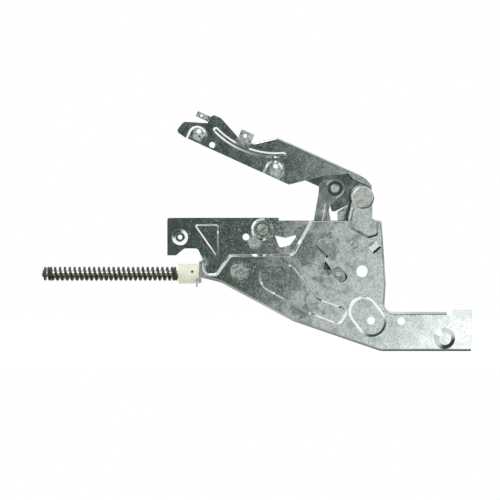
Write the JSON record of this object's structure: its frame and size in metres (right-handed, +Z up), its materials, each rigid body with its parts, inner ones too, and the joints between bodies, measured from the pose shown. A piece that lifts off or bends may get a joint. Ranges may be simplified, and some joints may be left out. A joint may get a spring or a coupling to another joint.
{
  "type": "dishwasher door hinge",
  "caption": "Sprung dishwasher door hinge: a pressed steel base with a swinging door arm, pull link, crank and a compression spring on a rod.",
  "frame": {"origin": "centre of the locating hole in the base, on the front face of its raised panel", "axes": "+X along the base from the spring to the foot, +Y through the base away from the viewer, along the pivot, +Z up, from the base to the door arm"},
  "size_m": [0.3111, 0.0211, 0.1733],
  "materials": {
    "galvanised_steel": "zinc plated sheet, mottled, bright at the bends",
    "dark_steel": "zinc plated sheet in the shade of the box",
    "pin_steel": "satin turned steel",
    "black_spring": "black, oiled",
    "ivory_plastic": "ivory moulded plastic",
    "dark_plastic": "dark bearing washer"
  },
  "bodies": {
    "base": {"front_plate": "galvanised_steel", "back_plate": "galvanised_steel", "spacer_stud": "pin_steel", "pivot_pin": "pin_steel", "pivot_spacer": "pin_steel", "crank_stud": "pin_steel", "crank_sleeve": "pin_steel", "crank_clip": "black_spring", "rod_guide": "ivory_plastic", "guide_rivet": "pin_steel", "spring_seat": "ivory_plastic", "spring": "black_spring"},
    "arm": {"door_arm": "galvanised_steel", "link_pin": "pin_steel", "link_washer": "dark_plastic"},
    "link": {"pull_link": "dark_steel"},
    "crank": {"crank": "dark_steel", "crank_link_pin": "pin_steel", "crank_rod_pin": "pin_steel"},
    "rod": {"spring_rod": "pin_steel", "end_washer": "black_spring", "end_cap": "black_spring"}
  },
  "joints": [
    {"name": "arm_swing", "type": "hinge", "parent": "base", "child": "arm", "pos_m": [0.0004, 0, 0.053], "axis": [0, 1, 0], "range_deg": [-24.4, 66]},
    {"name": "link_swing", "type": "hinge", "parent": "arm", "child": "link", "pos_m": [-0.0193, 0, 0.0597], "axis": [0, 1, 0], "range_deg": [-66.1, 24.5]},
    {"name": "crank_swing", "type": "hinge", "parent": "base", "child": "crank", "pos_m": [-0.015, 0, -0.0142], "axis": [0, 1, 0], "range_deg": [-24.5, 66.1]},
    {"name": "rod_slide", "type": "slide", "parent": "base", "child": "rod", "axis": [1, 0, 0], "range_m": [-0.0048, 0.01295], "deforming": ["spring"]}
  ],
  "couplings": [
    {"joint": "link_swing", "follows": "arm_swing", "ratio": -1},
    {"joint": "crank_swing", "follows": "arm_swing", "ratio": 1},
    {"joint": "rod_slide", "follows": "arm_swing", "m_per_rad": 0.0112}
  ]
}
